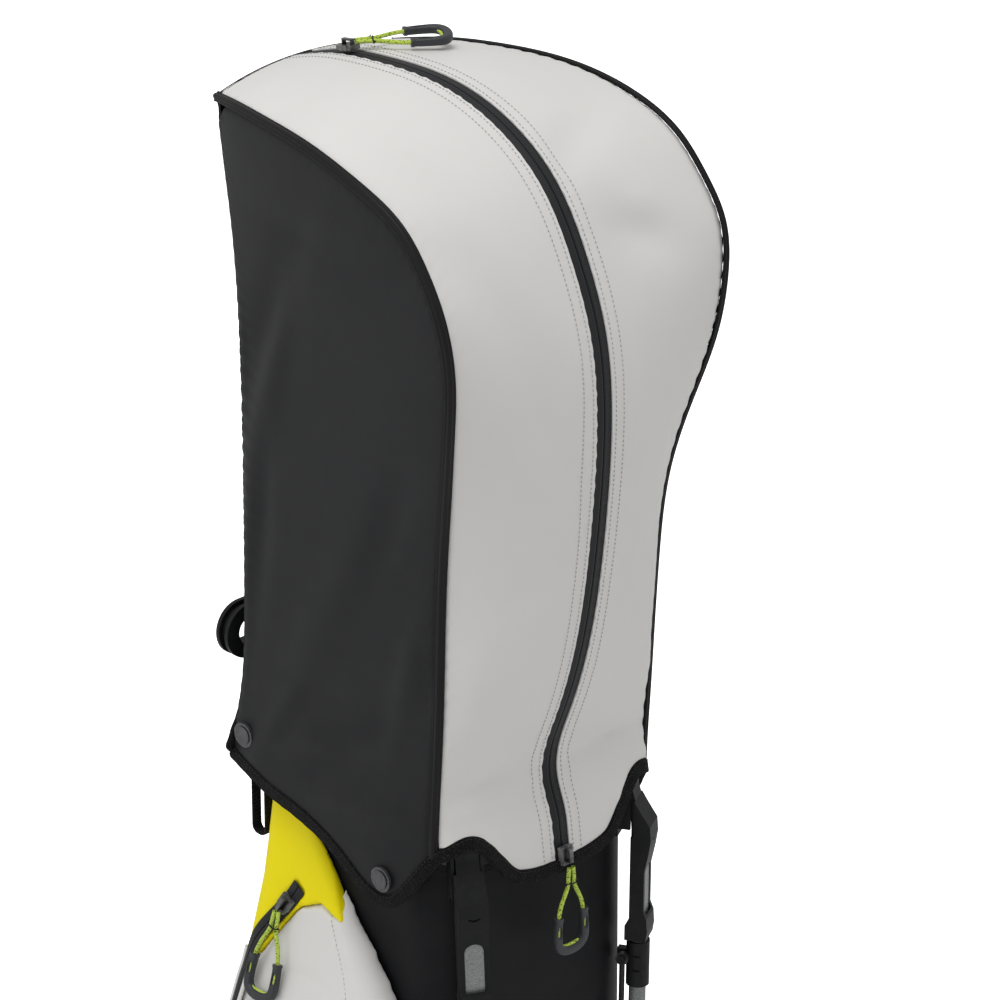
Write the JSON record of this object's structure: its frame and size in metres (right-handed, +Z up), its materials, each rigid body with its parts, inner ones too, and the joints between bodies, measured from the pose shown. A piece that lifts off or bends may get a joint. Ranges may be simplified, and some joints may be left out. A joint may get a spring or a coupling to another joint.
{
  "type": "golf stand bag",
  "caption": "Golf stand bag with a zip-front rain hood, swing-out legs worked by a base foot, side pockets and a double carry strap.",
  "frame": {"origin": "centre of the bag's base, on the floor", "axes": "+Z up the bag, -Y to the front where the legs are, +Y to the back where the straps are, +X to the side with the ball pocket"},
  "size_m": [0.3112, 0.289, 1.3213],
  "materials": {
    "boot_plastic": "moulded base with a fine grain",
    "steel": "plain steel pins and screws",
    "black_cloth": "smooth coated black cloth",
    "cuff_plastic": "black moulded plastic",
    "divider_foam": "fleece covered divider",
    "stay": "plain tube",
    "handle_plastic": "black moulded grip",
    "grey_cloth": "light grey coated cloth",
    "yellow_cloth": "bright yellow coated cloth",
    "zip_black": "coated reverse coil zip",
    "pad_cloth": "black mesh over foam",
    "webbing": "black woven webbing",
    "leg_plastic": "black moulded nylon",
    "inlay_silver": "silver flake inlay",
    "leg_tube": "satin silver tube",
    "rubber": "black rubber",
    "rod_steel": "black coated steel rod",
    "hood_black": "matt charcoal coated cloth",
    "hood_grey": "light warm grey coated cloth",
    "snap_metal": "gunmetal snap",
    "cord_lime": "lime cord",
    "tab_plastic": "dark grey plastic tab",
    "slider_metal": "black painted zip slider"
  },
  "bodies": {
    "bag": {"base_boot": "boot_plastic", "foot_hinge_pin": "steel", "body_shell": "black_cloth", "top_cuff": "cuff_plastic", "club_divider": "divider_foam", "divider_walls": "divider_foam", "frame_stays": "stay", "lift_handle": "handle_plastic", "handle_screws": "steel", "leg_brackets": "leg_plastic", "leg_pivot_pins": "steel", "snap_studs": "snap_metal", "snap_tabs": "webbing", "garment_pocket": "grey_cloth", "garment_yoke": "yellow_cloth", "garment_zip_tape": "zip_black", "ball_pocket": "grey_cloth", "ball_zip_tape": "zip_black", "valuables_pocket": "black_cloth", "valuables_zip_tape": "zip_black", "hip_pad": "pad_cloth", "strap_hub": "cuff_plastic", "strap_pads": "pad_cloth", "strap_webbing": "webbing", "strap_adjusters": "cuff_plastic", "towel_loop": "webbing"},
    "left_leg": {"leg_arm_left": "leg_plastic", "leg_inlay_left": "inlay_silver", "leg_tube_left": "leg_tube", "leg_clamp_left": "leg_plastic", "leg_foot_left": "rubber"},
    "right_leg": {"leg_arm_right": "leg_plastic", "leg_inlay_right": "inlay_silver", "leg_tube_right": "leg_tube", "leg_clamp_right": "leg_plastic", "leg_foot_right": "rubber"},
    "left_rod": {"leg_rod_left": "rod_steel"},
    "right_rod": {"leg_rod_right": "rod_steel"},
    "foot": {"stand_foot": "boot_plastic", "stand_foot_grip": "rubber"},
    "hood": {"hood_front_left": "hood_grey", "hood_front_right": "hood_grey", "hood_side_left": "hood_black", "hood_side_right": "hood_black", "hood_back": "hood_black", "hood_piping": "hood_black", "hood_binding": "webbing", "hood_zip_tape": "zip_black", "hood_snap_caps": "snap_metal"},
    "hood_low_runner": {"hood_slider_low": "slider_metal"},
    "hood_low_pull": {"hood_low_cord": "cord_lime", "hood_low_tab": "tab_plastic"},
    "hood_top_runner": {"hood_slider_top": "slider_metal"},
    "hood_top_pull": {"hood_top_cord": "cord_lime", "hood_top_tab": "tab_plastic"},
    "garment_runner": {"garment_slider": "slider_metal"},
    "garment_pull": {"garment_cord": "cord_lime", "garment_tab": "tab_plastic"},
    "ball_runner": {"ball_slider": "slider_metal"},
    "valuables_runner": {"valuables_slider": "slider_metal"}
  },
  "joints": [
    {"name": "left_leg_swing", "type": "hinge", "parent": "bag", "child": "left_leg", "pos_m": [-0.07775, -0.08714, 0.812], "axis": [-0.8655, 0.4997, -0.0349], "range_deg": [0, 30]},
    {"name": "right_leg_swing", "type": "hinge", "parent": "bag", "child": "right_leg", "pos_m": [0.07775, -0.08714, 0.812], "axis": [-0.8655, -0.4997, 0.0349], "range_deg": [0, 30]},
    {"name": "left_rod_tilt", "type": "hinge", "parent": "left_leg", "child": "left_rod", "pos_m": [-0.06591, -0.09397, 0.6784], "axis": [-0.8655, 0.4997, -0.0349], "range_deg": [-36.2, 0]},
    {"name": "right_rod_tilt", "type": "hinge", "parent": "right_leg", "child": "right_rod", "pos_m": [0.06591, -0.09397, 0.6784], "axis": [-0.8655, -0.4997, 0.0349], "range_deg": [-36.2, 0]},
    {"name": "stand_foot_press", "type": "hinge", "parent": "bag", "child": "foot", "pos_m": [0, -0.012, 0.016], "axis": [-1, 0, 0], "range_deg": [0, 13.6]},
    {"name": "hood_lift", "type": "slide", "parent": "bag", "child": "hood", "axis": [0, 0, 1], "range_m": [0, 0.5]},
    {"name": "hood_low_zip", "type": "slide", "parent": "hood", "child": "hood_low_runner", "axis": [0, 0.1498, 0.9887], "range_m": [0, 0.009]},
    {"name": "hood_low_pull_swing", "type": "hinge", "parent": "hood_low_runner", "child": "hood_low_pull", "pos_m": [0, -0.10937, 0.78289], "axis": [-1, 0, 0], "range_deg": [0, 95]},
    {"name": "hood_top_zip", "type": "slide", "parent": "hood", "child": "hood_top_runner", "axis": [0, -0.9884, 0.1521], "range_m": [0, 0.02]},
    {"name": "hood_top_pull_swing", "type": "hinge", "parent": "hood_top_runner", "child": "hood_top_pull", "pos_m": [0, 0.10201, 1.31713], "axis": [-0.5101, -0.8601, 0], "range_deg": [0, 90]},
    {"name": "garment_zip", "type": "slide", "parent": "bag", "child": "garment_runner", "axis": [-0.2595, 0.4624, -0.8478], "range_m": [0, 0.012]},
    {"name": "garment_pull_swing", "type": "hinge", "parent": "garment_runner", "child": "garment_pull", "pos_m": [-0.11681, 0.05939, 0.72756], "axis": [0, 1, 0], "range_deg": [0, 95]},
    {"name": "ball_zip", "type": "slide", "parent": "bag", "child": "ball_runner", "axis": [0, 0, -1], "range_m": [0, 0.19]},
    {"name": "valuables_zip", "type": "slide", "parent": "bag", "child": "valuables_runner", "axis": [0, 0, -1], "range_m": [0, 0.14]}
  ],
  "couplings": [
    {"joint": "right_leg_swing", "follows": "left_leg_swing", "ratio": 1},
    {"joint": "left_rod_tilt", "follows": "left_leg_swing", "ratio": -1.205},
    {"joint": "right_rod_tilt", "follows": "left_leg_swing", "ratio": -1.205},
    {"joint": "stand_foot_press", "follows": "left_leg_swing", "ratio": 0.452}
  ]
}
